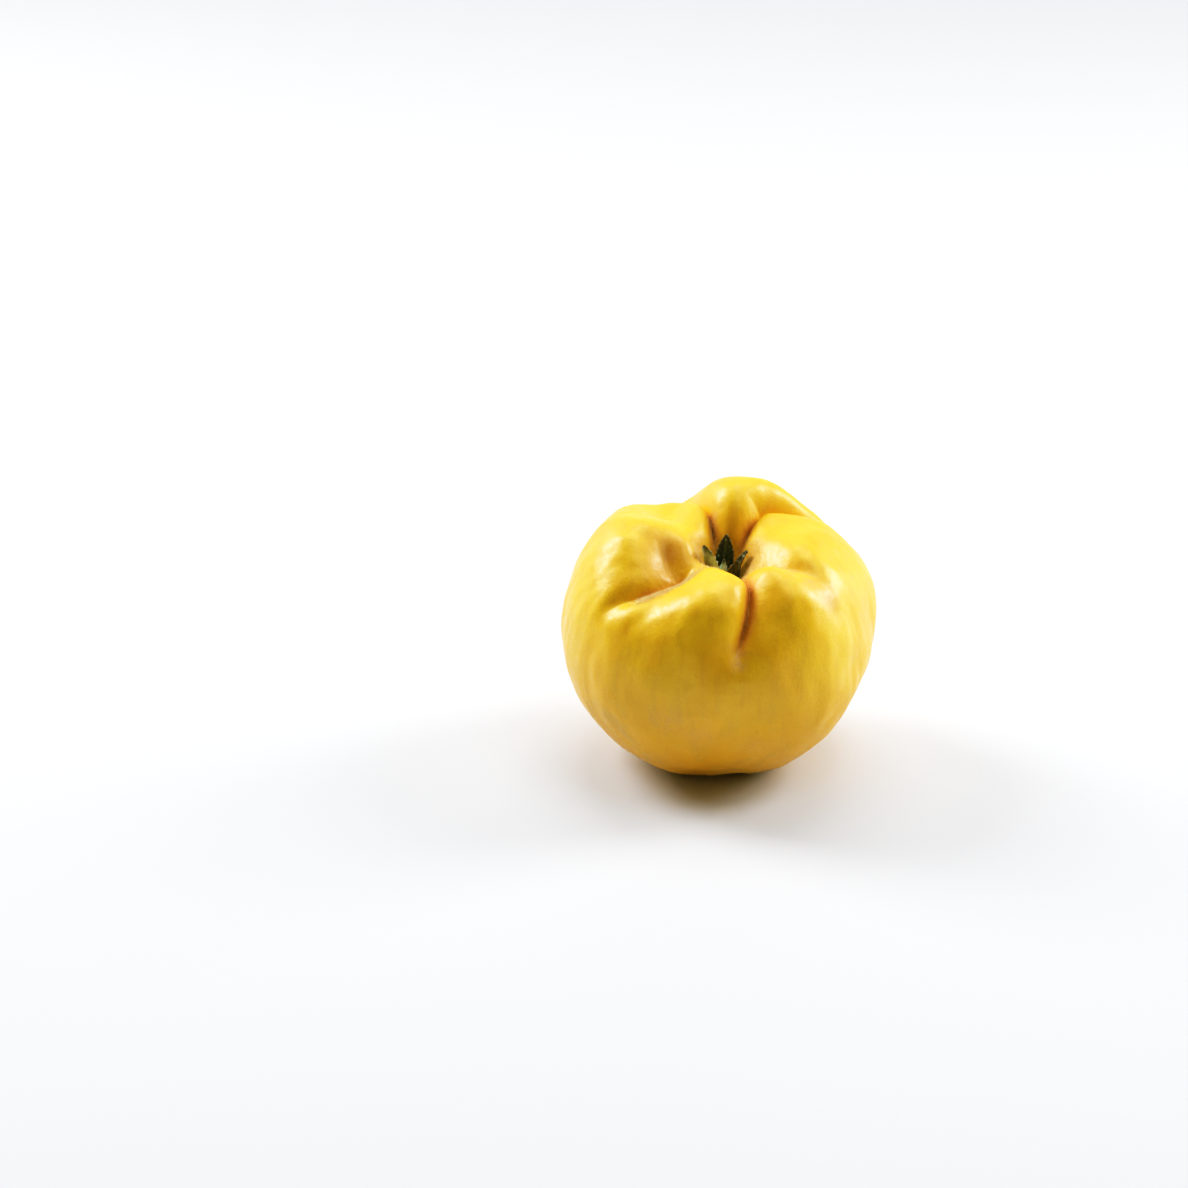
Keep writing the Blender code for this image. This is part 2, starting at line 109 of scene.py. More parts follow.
# Local swellings (height above 0) and dents (height below 0) on the lobes
Swelling = namedtuple("Swelling", "azimuth polar radius height")
SWELLINGS = (
    Swelling(184.0, 13.2, 0.0050, 0.0012),
    Swelling(207.0, 13.0, 0.0044, 0.0008),
    Swelling(222.0, 13.5, 0.0046, -0.0022),
    Swelling(197.0, 21.0, 0.0074, -0.0026),
    Swelling(211.0, 26.0, 0.0082, -0.0018),
    Swelling(178.0, 44.0, 0.0110, 0.0012),
    Swelling(154.0, 50.0, 0.0150, 0.0016),
    Swelling(328.0, 42.0, 0.0080, 0.0012),
    Swelling(324.0, 55.0, 0.0042, -0.0006),
    Swelling(334.0, 66.0, 0.0045, -0.0007),
    Swelling(236.0, 30.0, 0.0075, -0.0026),
    Swelling(231.0, 40.0, 0.0075, -0.0024),
    Swelling(226.0, 50.0, 0.0070, -0.0016),
    Swelling(252.0, 23.0, 0.0100, -0.0014),
    Swelling(264.0, 38.0, 0.0110, 0.0014),
    Swelling(307.0, 25.0, 0.0075, 0.0014),
    Swelling(309.0, 42.0, 0.0085, 0.0018),
    Swelling(309.0, 57.0, 0.0095, 0.0011),
    Swelling(134.0, 28.0, 0.0105, -0.0058),
    Swelling(124.0, 38.0, 0.0105, -0.0046),
    Swelling(115.0, 53.0, 0.0080, -0.0022),
    Swelling(134.0, 54.0, 0.0090, 0.0009),
    Swelling(92.0, 32.0, 0.0150, 0.0032),
    Swelling(60.0, 40.0, 0.0100, 0.0018),
    Swelling(34.0, 26.0, 0.0090, -0.0036),
    Swelling(330.0, 82.0, 0.0060, -0.0012),
    Swelling(350.0, 74.0, 0.0080, -0.0014),
    Swelling(18.0, 74.0, 0.0150, 0.0022),
    Swelling(348.0, 108.0, 0.0120, -0.0012),
    Swelling(200.0, 122.0, 0.0180, 0.0012),
)

# Dents painted a darker brown-gold, partly the skin's own tint and partly painted shade, and pinkish
# rubs and dull bruises on the skin
Spot = namedtuple("Spot", "azimuth polar radius strength")
AMBER_AND_SHADE_SPOTS = (
    Spot(196.0, 20.0, 0.0058, 1.0),
    Spot(212.0, 27.0, 0.0066, 0.9),
    Spot(324.0, 50.0, 0.0036, 0.6),
)
RUB_SPOTS = (
    Spot(318.0, 30.0, 0.0040, 0.8),
    Spot(322.0, 38.0, 0.0040, 0.8),
    Spot(250.0, 96.0, 0.0060, 0.5),
    Spot(262.0, 104.0, 0.0050, 0.5),
    Spot(283.0, 112.0, 0.0060, 0.4),
    Spot(275.5, 59.0, 0.0026, 1.0),
    Spot(274.5, 64.0, 0.0024, 1.0),
)

# Distances from the axis over which the painted shade of the eye and the down of the pit fade into
# the rest of the skin
EYE_FADES = (0.0050, 0.0150)
PIT_FADES = (0.0040, 0.0130)

# How downy the pit is, and the rim of the eye, which is nearly bare at the back
PIT_DOWN = 0.8
RIM_DOWN = 0.3
RIM_RADIUS = 0.0085
RIM_WIDTH = 0.0026
BARE_AZIMUTH = 86.0
BARE_SPAN = 50.0
BARE_SHARE = 0.85

# Ribs that run from the cheeks to the five low points round the pit
RIB_COUNT = 5
RIB_HEIGHT = 0.0006
RIB_AZIMUTH = 239.0
RIB_RISES = (70.0, 120.0)
RIB_FADES = (160.0, 174.0)

# Small relief of the skin: the size of its waves, and how high they are. Each finer octave is
# half as large and half as high. In the roughness of the collar and of the cushion further down,
# the height is a share of their radius.
Wave = namedtuple("Wave", "size height octaves")
OCTAVE_FADE = 1.0
OCTAVE_STEP = 2.0
WAVES = (Wave(0.0110, 0.00022, 2), Wave(0.0040, 0.00005, 2))
CREASE_WAVE = Wave(0.0011, 0.00035, 3)

# Long low ridges that run up and down the fruit
RIDGE_WAVE = Wave(0.0075, 0.00042, 2)
RIDGE_STRETCH = (1.0, 1.0, 0.22)
RIDGE_RISES = (14.0, 30.0)

# Down: fine hairs in the creases, round the eye and in the pit. Each hair has its own share of
# the length. It goes outward by HAIR_RISE while it lies over to its own side by one of HAIR_LIES.
DOWN_COUNT = 40000
DOWN_LENGTH = 0.0009
HAIR_SHARES = (0.35, 1.2)
HAIR_LIES = (0.2, 1.6)
HAIR_RISE = 0.7
DOWN_RADIUS = 0.000028
DOWN_REACH = 0.0018
DOWN_THRESHOLD = 0.08
DOWN_SEED = 11
HAIR_SIDES = 3

# The calyx: a collar with five withered sepals in the floor of the eye
COLLAR_RADIUS = 0.0038
COLLAR_THICKNESS = 0.0011
COLLAR_SEGMENTS = (96, 24)
COLLAR_ROUGHNESS = Wave(0.0012, 0.25, 3)
SEPAL_ROOT_RADIUS = 0.0040
SEPAL_THICKNESS = 0.00040
SEPAL_ROWS = 90
SEPAL_COLUMNS = 30
SEPAL_CUPPING = 0.35
TOOTH_COUNT = 9
TOOTH_SHARE = 0.16
TOOTH_SHARPNESS = 6
ROOT_SHARE = 0.62
WIDENING = 1.5
BLUNTNESS = 0.8
TIP_SHARE = 0.05
VEIN_COUNT = 7
VEIN_HEIGHT = 0.00010
VEIN_SLANT = 0.25
MIDRIB_WIDTH = 0.10
SIDE_VEIN_WIDTH = 0.16
SIDE_VEIN_SHARE = 0.6
SIDE_VEIN_FADE = 0.3
CRUMPLE = Wave(1.0, 0.00035, 4)
CRUMPLE_FOLDS = (1.7, 4.0, 3.1)
LEAST_CRUMPLE = 0.3
Sepal = namedtuple("Sepal", "azimuth length width lean curl twist age")
SEPALS = (
    Sepal(86.0, 0.0122, 0.0066, 1.0, 8.0, 0.0, 1.0),
    Sepal(211.0, 0.0150, 0.0080, 4.0, 9.0, -22.0, 0.0),
    Sepal(264.0, 0.0096, 0.0028, 0.0, -8.0, 0.0, 0.0),
    Sepal(312.0, 0.0098, 0.0072, 2.0, 4.0, 14.0, 0.75),
    Sepal(14.0, 0.0100, 0.0072, 4.0, 12.0, 26.0, 0.9),
)

# The dry stamens, with the styles inside them, on a cushion in the middle of the calyx. A point
# of a thread that is nearer to its axis than POLE_SIZE is one of its two ends.
CUSHION_RADIUS = 0.0026
CUSHION_FLATNESS = 0.45
CUSHION_RISE = 0.0009
CUSHION_SEGMENTS = (64, 32)
CUSHION_ROUGHNESS = Wave(0.25, 0.10, 3)
ThreadRing = namedtuple("ThreadRing", "count out length radius spread")
THREAD_RINGS = (
    ThreadRing(10, 0.0021, 0.0060, 0.00011, 0.22),
    ThreadRing(10, 0.0016, 0.0056, 0.00011, 0.14),
    ThreadRing(5, 0.0007, 0.0046, 0.00020, 0.05),
)
THREAD_SIDES = 7
THREAD_SEGMENTS = 18
THREAD_TAPER = 0.35
THREAD_SINK = 0.0006
END_ROUNDING = 8.0
POLE_SIZE = 1e-6
ANTHER_LENGTH = 0.0007
ANTHER_RADIUS = 0.00016
ANTHER_SPREAD = 0.6
BEND_POWER = 1.6
LENGTH_RANGE = (0.70, 1.1)
SPREAD_RANGE = (0.2, 1.6)
SWAY_RANGE = (-0.12, 0.12)
PLACE_RANGE = (-0.3, 0.3)
THREAD_SEED = 7

# The stub of stem in the pit, with its thickness at even steps as shares of its radius
STEM_RADIUS = 0.0019
STEM_SWELL = (1.25, 1.02, 0.90, 0.88, 0.98, 1.22, 1.30, 1.05)
STEM_LENGTH = 0.0088
STEM_BOW = 0.0014
STEM_BOW_SIDEWAYS = 0.4
STEM_ROOT_DEPTH = 0.0022
STEM_SIDES = 48
STEM_RINGS = 90
STEM_ROOT_SHARE = 0.02
STEM_END_SHARE = 0.05
BARK = Wave(1.0, 0.00016, 4)
BARK_GRAIN = (2.6, 2.6, 5.0)
SCAR_RISES = (0.955, 0.985)

# The view of the photo: its size, the real length of one of its pixels, and where the middle of
# the fruit is in it
PICTURE_SIZE = 1188
PIXEL = 0.0002875
FRUIT_PIXEL = (719.0, 623.0)
FRUIT_MIDDLE = Vector((0.0, 0.0, 0.0405))
ELEVATION = math.radians(25.0)
CAMERA_DISTANCE = 1.0
SENSOR_MM = 36.0

# The floor's size, and the distances over which its far part glows with painted light and brightens
# to white
FLOOR_SIDES = 96
FLOOR_RADIUS = 6.0
FLOOR_GLOW_FROM = 0.6
FLOOR_GLOW_TO = 2.4

# Two window-like lights at the sides and a little behind, a soft one above, a fill above the
# front right, and a wide pale backdrop, with faint even light from all round
Lamp = namedtuple("Lamp", "name place size watts")
LAMPS = (
    Lamp("overhead", (0.05, 0.40, 1.05), (0.70, 0.50), 5.5),
    Lamp("left_window", (-0.72, 0.42, 0.62), (0.38, 0.66), 12.0),
    Lamp("right_window", (0.84, 0.30, 0.48), (0.36, 0.74), 11.5),
    Lamp("front_fill", (0.32, -0.22, 1.05), (0.42, 0.42), 2.2),
    Lamp("backdrop", (0.0, 1.80, 0.75), (3.2, 1.8), 14.0),
)
EVEN_LIGHT = 0.12

# How the picture shows light: a deeper shade and a softer highlight than plain linear light.
# The pairs of the tone curve are light and how bright it is shown. The blue curve lowers weak
# blue, which keeps the yellows rich. The indices are the places of the curves in Blender.
WHITE_LEVEL = 1.35
BLUE_INDEX = 2
COMBINED_INDEX = 3
TONE_CURVE = ((0.05, 0.027), (0.15, 0.098), (0.25, 0.195), (0.50, 0.47), (0.75, 0.70), (1.0, 0.86))
BLUE_CURVE = ((0.04, 0.021), (0.12, 0.097), (0.30, 0.29), (0.60, 0.60))

# Colours in linear light. Where two are given, the surface is mottled between them.
# SKIN_SCATTER is how far red, green and blue light spread in the flesh, as shares.
WHITE = (1.0, 1.0, 1.0)
# Painted light and shade on the skin: a darker gold low down and a lighter lemon on top, as if lit
# from above
SHADED_GOLD = ((0.74, 0.345, 0.003), (0.81, 0.400, 0.005))
LIT_YELLOW = ((0.87, 0.470, 0.004), (0.92, 0.550, 0.008))
TIRED_SKIN = (0.60, 0.335, 0.045)
STREAK = (0.70, 0.36, 0.015)
SPECK = (0.90, 0.62, 0.10)
# Painted shade for the hollow of the eye
EYE_HOLLOW_SHADE = (0.80, 0.42, 0.02)
# Darker tint of the dents: partly the skin's own, partly painted shade
AMBER_AND_DENT_SHADE = (0.54, 0.21, 0.002)
RUBBED_SKIN = (0.66, 0.33, 0.14)
DOWNY_SKIN = (0.90, 0.63, 0.22)
RUST_EDGE = (0.80, 0.40, 0.06)
RUST = (0.64, 0.24, 0.02)
DARK_GRAIN = (0.62, 0.33, 0.03)
PALE_GRAIN = (0.95, 0.68, 0.16)
SKIN_HIGHLIGHT = (1.0, 0.96, 0.84)
SKIN_SHEEN = (1.0, 0.92, 0.72)
SKIN_SCATTER = (1.0, 0.42, 0.06)
HAIR_TAN = ((0.86, 0.66, 0.34), (0.94, 0.82, 0.56))
YOUNG_SEPAL = ((0.38, 0.54, 0.44), (0.62, 0.82, 0.72))
OLD_SEPAL = ((0.012, 0.014, 0.005), (0.055, 0.060, 0.018))
SEPAL_VEIN = (0.26, 0.28, 0.15)
SEPAL_MARGIN = (0.34, 0.22, 0.10)
SEPAL_FLECK = (0.62, 0.62, 0.46)
DRY_THREAD = ((0.20, 0.13, 0.05), (0.42, 0.30, 0.13))
DRY_TIP = (0.08, 0.035, 0.012)
BARK_BROWN = ((0.055, 0.020, 0.008), (0.26, 0.105, 0.035))
BARK_PATCH = (0.28, 0.20, 0.13)
STEM_SCAR = ((0.20, 0.11, 0.05), (0.48, 0.33, 0.18))
FLOOR_PALE = ((0.73, 0.75, 0.78), (0.75, 0.77, 0.80))


def smooth_step(low, high, value):
    """0 below low, 1 above high, and a smooth rise between them."""
    share = np.clip((value - low) / (high - low), 0.0, 1.0)
    return share * share * (3.0 - 2.0 * share)


def profile(polar):
    """Distance from the axis and height of the plain turned body at a polar angle in radians."""
    up = np.cos(polar)
    top = up > 0.0
    across = CHEEK_RADIUS * np.sin(polar) ** PLUMPNESS
    across = across * (1.0 - BASE_TAPER * smooth_step(0.0, 1.0, -up))
    height = np.where(top, TOP_HEIGHT, BASE_HEIGHT) * up
    eye = BASIN_DEPTH * np.exp(-((across / BASIN_RADIUS) ** 2))
    eye += EYE_DEPTH * np.exp(-((across / EYE_RADIUS) ** EYE_STEEPNESS))
    pit = PIT_DEPTH * np.exp(-((across / PIT_RADIUS) ** PIT_STEEPNESS))
    return across, height + np.where(top, -eye, pit)


def away_from_core(across, height):
    """The direction, as its parts across and up, from the core ring to the skin."""
    run = across - CORE_RADIUS
    rise = height - CORE_HEIGHT
    size = np.hypot(run, rise)
    return run / size, rise / size


def crowd_meridians(azimuth):
    """Draws evenly spread meridians closer together beside the creases."""
    creases = sorted(
        furrow.azimuth for furrow in FURROWS if furrow.sharpness < MOST_CREASE_SHARPNESS
    )
    edges = np.array([creases[-1] - 360.0, *creases, creases[0] + 360.0])
    lobe = np.clip(np.searchsorted(edges, azimuth, side="right") - 1, 0, len(edges) - 2)
    low = edges[lobe]
    span = edges[lobe + 1] - low
    share = (azimuth - low) / span
    eased = share - MERIDIAN_CROWDING * np.sin(2.0 * np.pi * share) / (2.0 * np.pi)
    return low + span * eased


def sweep(azimuth, polar):
    """How far each meridian is swept sideways, in degrees, so that it follows its furrow."""
    places = np.array([furrow.azimuth for furrow in FURROWS])
    swept = np.zeros_like(azimuth)
    for index, furrow in enumerate(FURROWS):
        belongs = np.zeros(len(FURROWS))
        belongs[index] = 1.0
        share = np.interp(azimuth, places, belongs, period=360.0)
        along = np.clip((np.degrees(polar) - DRIFT_FROM) / furrow.drift_span, 0.0, 1.0)
        swept += share * furrow.drift * along
    return swept


def furrow_place(furrow, azimuth, polar, across):
    """Distance round the fruit past a furrow, and how open it is there, from 0 to 1."""
    degrees = np.degrees(polar)
    apart = (azimuth - furrow.azimuth + 180.0) % 360.0 - 180.0
    distance = np.radians(apart) * across
    opens = smooth_step(furrow.starts, furrow.starts + FURROW_OPENING, degrees)
    closes = 1.0 - smooth_step(furrow.reach - furrow.fade, furrow.reach, degrees)
    return distance, opens * closes


def on_body(azimuth, polar):
    """Points of the plain turned body."""
    across, height = profile(polar)
    angle = np.radians(azimuth)
    return np.stack([across * np.cos(angle), across * np.sin(angle), height], axis=-1)


def swelling_height(points):
    """How far the swellings and dents lift the skin."""
    height = np.zeros(len(points))
    for swelling in SWELLINGS:
        centre = on_body(np.array(swelling.azimuth), np.radians(swelling.polar))
        distance = np.linalg.norm(points - centre, axis=1)
        height += swelling.height * np.exp(-((distance / swelling.radius) ** 2))
    return height


def spot_mask(points, spots):
    """How far each point is inside the spots, from 0 to 1."""
    mask = np.zeros(len(points))
    for spot in spots:
        centre = on_body(np.array(spot.azimuth), np.radians(spot.polar))
        distance = np.linalg.norm(points - centre, axis=1)
        mask = np.maximum(mask, spot.strength * np.exp(-((distance / spot.radius) ** 2)))
    return mask


def rib_height(azimuth, polar):
    """Five low ribs on the lower half, which end as the points that the fruit stands on."""
    wave = np.cos(np.radians(RIB_COUNT * (azimuth - RIB_AZIMUTH)))
    degrees = np.degrees(polar)
    window = smooth_step(*RIB_RISES, degrees) * (1.0 - smooth_step(*RIB_FADES, degrees))
    return RIB_HEIGHT * wave * window


def lean_heading():
    """The level direction that the eye end leans towards."""
    return np.array([math.cos(math.radians(LEAN_AZIMUTH)), math.sin(math.radians(LEAN_AZIMUTH))])


def lean_over(points):
    """Leans the points, not at all at the base and fully from the shoulders up."""
    heading = lean_heading()
    turn = LEAN * smooth_step(LEAN_FROM, LEAN_FULL, points[:, 2])
    ahead = points[:, :2] @ heading
    moved = ahead * np.cos(turn) + points[:, 2] * np.sin(turn)
    level = points[:, :2] + (moved - ahead)[:, None] * heading
    up = points[:, 2] * np.cos(turn) - ahead * np.sin(turn)
    return np.column_stack([level, up])


def waves(points, wave):
    """Even random waves over the points, from about -1 to 1."""
    return np.array([
        noise.fractal(Vector(point) / wave.size, OCTAVE_FADE, OCTAVE_STEP, wave.octaves)
        for point in points
    ])


def skin_points(directions):
    """Moves the points of a unit sphere to the skin, and gives the masks that colour it."""
    spread = np.degrees(np.arctan2(directions[:, 1], directions[:, 0])) % 360.0
    azimuth = crowd_meridians(np.round(spread, 4))
    even = np.arccos(np.clip(directions[:, 2], -1.0, 1.0))
    polar = even - 0.5 * POLE_CROWDING * np.sin(2.0 * even)
    true_azimuth = azimuth + sweep(azimuth, polar)
    body = on_body(true_azimuth, polar)
    across, height = profile(polar)
    out_across, out_up = away_from_core(across, height)
    angle = np.radians(true_azimuth)
    outward = np.column_stack([out_across * np.cos(angle), out_across * np.sin(angle), out_up])

    lift = swelling_height(body) + rib_height(true_azimuth, polar)
    degrees = np.degrees(polar)
    rust = np.zeros(len(body))
    down = np.zeros(len(body))
    for furrow in FURROWS:
        past, opened = furrow_place(furrow, azimuth, polar, across)
        distance = np.abs(past)
        sharpness = END_SHARPNESS + (furrow.sharpness - END_SHARPNESS) * opened
        lift -= furrow.depth * opened * np.exp(-((distance / furrow.width) ** sharpness))
        clean = smooth_step(furrow.stained_to - STAIN_FADE, furrow.stained_to, degrees)
        stained = opened * (1.0 - clean)
        stain_width = STAIN_SHARE * furrow.width
        rust += furrow.rust * stained * np.exp(-((distance / stain_width) ** STAIN_SHARPNESS))
        down += furrow.down * stained * np.exp(-(((past - furrow.down_side) / DOWN_REACH) ** 2))
    for wave in WAVES:
        lift += wave.height * waves(body, wave)
    ridges = waves(body * RIDGE_STRETCH, RIDGE_WAVE) * smooth_step(*RIDGE_RISES, degrees)
    lift += RIDGE_WAVE.height * ridges
    rust = np.clip(rust, 0.0, 1.0)
    lift += CREASE_WAVE.height * waves(body, CREASE_WAVE) * rust

    top = height > 0.0
    # The eye mask marks the hollow of the eye, which gets painted shade. The upper mask is how high a
    # point is: it sets the painted lighter top and darker bottom of the skin, and where the lower
    # half is mottled.
    eye = np.where(top, 1.0 - smooth_step(*EYE_FADES, across), 0.0)
    pit = np.where(top, 0.0, 1.0 - smooth_step(*PIT_FADES, across))
    rim = np.where(top, np.exp(-(((across - RIM_RADIUS) / RIM_WIDTH) ** 2)), 0.0)
    past_bare = (true_azimuth - BARE_AZIMUTH + 180.0) % 360.0 - 180.0
    rim *= 1.0 - BARE_SHARE * np.exp(-((past_bare / BARE_SPAN) ** 4))
    masks = {
        "rust": rust,
        "down": np.clip(down + RIM_DOWN * rim + PIT_DOWN * pit, 0.0, 1.0),
        "eye": eye,
        "upper": 0.5 + 0.5 * np.cos(polar),
        # Where the dents are painted darker: partly their own tint, partly painted shade
        "amber_and_shade": spot_mask(body, AMBER_AND_SHADE_SPOTS),
        "rub": spot_mask(body, RUB_SPOTS),
    }
    return lean_over(body + outward * lift[:, None]), masks


def linked(name, mesh):
    """An object in the scene."""
    made = bpy.data.objects.new(name, mesh)
    bpy.context.scene.collection.objects.link(made)
    return made


def mesh_from(build, name):
    """A mesh that a bmesh function fills."""
    shape = bmesh.new()
    build(shape)
    mesh = bpy.data.meshes.new(name)
    shape.to_mesh(mesh)
    shape.free()
    return mesh


def points_of(mesh):
    """A mesh's vertices as an array."""
    points = np.empty(len(mesh.vertices) * 3)
    mesh.vertices.foreach_get("co", points)
    return points.reshape(-1, 3)


def ball(name, meridians, rings):
    """A mesh of a unit sphere, its poles on the Z axis.

    bmesh lists the sphere's faces in another order each run, so they are sorted: the hairs, which
    are drawn by the order of the faces, then grow in the same places each run.
    """
    mesh = mesh_from(
        lambda shape: bmesh.ops.create_uvsphere(
            shape, u_segments=meridians, v_segments=rings, radius=1.0
        ),
        name,
    )
    points = points_of(mesh)
    faces = sorted(tuple(face.vertices) for face in mesh.polygons)
    mesh.clear_geometry()
    mesh.from_pydata(points.tolist(), [], faces)
    return mesh


def set_points(mesh, points):
    """Moves a mesh's vertices to the points."""
    mesh.vertices.foreach_set("co", points.ravel())
    mesh.update()


def keep_mask(mesh, name, values):
    """Stores one number for each vertex, for the material to read."""
    mask = mesh.attributes.new(name, "FLOAT", "POINT")
    mask.data.foreach_set("value", np.asarray(values, np.float32))


def finish_piece(piece, node, material):
    """Gives a piece its material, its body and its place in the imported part."""
    piece.data.materials.append(material)
    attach(piece, "root")
    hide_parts(node)


def make_skin(material):
    """The fruit's skin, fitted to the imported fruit's box. Gives the piece and how far it moved."""
    mesh = ball("skin", MERIDIANS, RINGS)
    points, masks = skin_points(points_of(mesh))
    low, high = (np.array(corner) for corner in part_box("fruit"))
    low[2] -= REST_FLAT
    fine_low, fine_high = points.min(axis=0), points.max(axis=0)
    scale = (high - low) / (fine_high - fine_low)
    placed = low + (points - fine_low) * scale
    placed[:, 2] = np.maximum(placed[:, 2], 0.0)
    set_points(mesh, placed)
    for name, values in masks.items():
        keep_mask(mesh, name, values)
    mesh.shade_smooth()
    skin = linked("skin", mesh)
    finish_piece(skin, "fruit", material)
    return skin, Vector(low - fine_low * scale)


def make_down(skin, material):
    """Fine matted hairs that stand out of the creases, the rim of the eye and the pit."""
    draw = np.random.default_rng(DOWN_SEED)
    mesh = skin.data
    points = points_of(mesh)
    density = np.empty(len(points), np.float32)
    mesh.attributes["down"].data.foreach_get("value", density)
    quads = np.array([face.vertices[:] for face in mesh.polygons if len(face.vertices) == 4])
    corners = points[quads]
    normals = np.cross(corners[:, 2] - corners[:, 0], corners[:, 3] - corners[:, 1])
    areas = np.linalg.norm(normals, axis=1)
    normals /= np.maximum(areas, 1e-12)[:, None]
    chance = areas * np.maximum(density[quads].mean(axis=1) - DOWN_THRESHOLD, 0.0)
    chosen = draw.choice(len(quads), size=DOWN_COUNT, p=chance / chance.sum())
    u, v = draw.uniform(0.0, 1.0, (2, DOWN_COUNT, 1))
    first, second, third, fourth = corners[chosen].transpose(1, 0, 2)
    roots = (1 - u) * (1 - v) * first + u * (1 - v) * second + u * v * third + (1 - u) * v * fourth
    outward = normals[chosen]
    across = np.cross(outward, draw.normal(size=(DOWN_COUNT, 3)))
    across /= np.linalg.norm(across, axis=1)[:, None]
    beside = np.cross(outward, across)
    length = DOWN_LENGTH * draw.uniform(*HAIR_SHARES, (DOWN_COUNT, 1))
    lie = draw.uniform(*HAIR_LIES, (DOWN_COUNT, 1))
    tip = roots + length * (HAIR_RISE * outward + lie * across) / np.hypot(HAIR_RISE, lie)
    tip[:, 2] = np.maximum(tip[:, 2], REST_FLAT)
    ring = []
    for side in range(HAIR_SIDES):
        turn = 2.0 * math.pi * side / HAIR_SIDES
        spoke = math.cos(turn) * across + math.sin(turn) * beside
        ring.append(roots - DOWN_RADIUS * outward + DOWN_RADIUS * spoke)
    vertices = np.stack([*ring, tip], axis=1).reshape(-1, 3)
    one = np.array([(0, 1, 3), (1, 2, 3), (2, 0, 3), (2, 1, 0)])
    faces = (one + (HAIR_SIDES + 1) * np.arange(DOWN_COUNT)[:, None, None]).reshape(-1, 3)
    hairs = bpy.data.meshes.new("down")
    hairs.from_pydata(vertices.tolist(), [], faces.tolist())
    down = linked("down", hairs)
    finish_piece(down, "fruit", material)


def sepal_mesh(sepal, index):
    """One blade, rooted at the origin and rising along +Z, its outer face towards +X."""
    mesh = mesh_from(
        lambda shape: bmesh.ops.create_grid(
            shape, x_segments=SEPAL_COLUMNS, y_segments=SEPAL_ROWS, size=1.0
        ),
        f"sepal_{index}",
    )
    points = points_of(mesh)
    side = points[:, 0]
    along = (points[:, 1] + 1.0) / 2.0
    outline = (ROOT_SHARE + WIDENING * along) * (1.0 - along) ** BLUNTNESS + TIP_SHARE
    saw = (TOOTH_COUNT * along) % 1.0
    teeth = 1.0 - TOOTH_SHARE * (1.0 - saw) * np.abs(side) ** TOOTH_SHARPNESS
    width = 0.5 * sepal.width * outline * teeth
    bend = np.radians(sepal.lean + sepal.curl * along)
    turn = np.radians(sepal.twist) * along
    cupped = SEPAL_CUPPING * width * side**2
    slant = along - VEIN_SLANT * np.abs(side)
    past_vein = (VEIN_COUNT * slant) % 1.0 - 0.5
    side_veins = np.exp(-((past_vein / SIDE_VEIN_WIDTH) ** 2))
    side_veins *= SIDE_VEIN_SHARE * (1.0 - np.abs(side)) ** SIDE_VEIN_FADE
    veins = np.exp(-((side / MIDRIB_WIDTH) ** 2)) + side_veins
    where = np.column_stack([side, along, np.full(len(side), index)]) * CRUMPLE_FOLDS
    crumple = CRUMPLE.height * waves(where, CRUMPLE)
    out = crumple * (LEAST_CRUMPLE + sepal.age) - VEIN_HEIGHT * veins
    x = sepal.length * along * np.sin(bend) - cupped * np.cos(turn) + width * side * np.sin(turn)
    y = width * side * np.cos(turn) + cupped * np.sin(turn)
    z = sepal.length * along * np.cos(bend)
    x = x + out * np.cos(turn)
    y = y - out * np.sin(turn)
    set_points(mesh, np.stack([x, y, z], axis=-1))
    keep_mask(mesh, "age", np.full(len(side), sepal.age))
    keep_mask(mesh, "along", along)
    keep_mask(mesh, "edge", np.abs(side))
    keep_mask(mesh, "vein", np.clip(veins, 0.0, 1.0))
    return mesh


def thickened(mesh, thickness, name):
    """A closed blade made of an open one."""
    piece = linked(name, mesh)
    solid = piece.modifiers.new("thickness", "SOLIDIFY")
    solid.thickness = thickness
    solid.offset = 0.0
    solid.use_even_offset = False
    bpy.context.view_layer.update()
    made = bpy.data.meshes.new_from_object(
        piece.evaluated_get(bpy.context.evaluated_depsgraph_get())
    )
    bpy.data.objects.remove(piece)
    return made


def joined(meshes, name):
    """One mesh of several, with their masks."""
    pieces = [linked(name, mesh) for mesh in meshes]
    with bpy.context.temp_override(
        active_object=pieces[0], selected_editable_objects=pieces, selected_objects=pieces
    ):
        bpy.ops.object.join()
    return pieces[0]


def make_calyx(place, material):
    """The collar and its five sepals."""
    blades = []
    for index, sepal in enumerate(SEPALS):
        blade = thickened(sepal_mesh(sepal, index), SEPAL_THICKNESS, f"sepal_{index}")
        round_fruit = Matrix.Rotation(math.radians(sepal.azimuth), 4, "Z")
        blade.transform(place @ round_fruit @ Matrix.Translation((SEPAL_ROOT_RADIUS, 0.0, 0.0)))
        blades.append(blade)
    bpy.ops.mesh.primitive_torus_add(
        major_radius=COLLAR_RADIUS, minor_radius=COLLAR_THICKNESS,
        major_segments=COLLAR_SEGMENTS[0], minor_segments=COLLAR_SEGMENTS[1],
    )
    ring = bpy.context.object
    collar = ring.data
    bpy.data.objects.remove(ring)
    points = points_of(collar)
    rough = COLLAR_ROUGHNESS.height * waves(points, COLLAR_ROUGHNESS)
    middle = points * [1.0, 1.0, 0.0]
    middle *= COLLAR_RADIUS / np.linalg.norm(middle, axis=1)[:, None]
    set_points(collar, points + (points - middle) * rough[:, None])
    collar.transform(place)
    keep_mask(collar, "age", np.full(len(points), 0.5))
    calyx = joined([*blades, collar], "sepals")
    calyx.data.shade_smooth()
    finish_piece(calyx, "calyx", material)


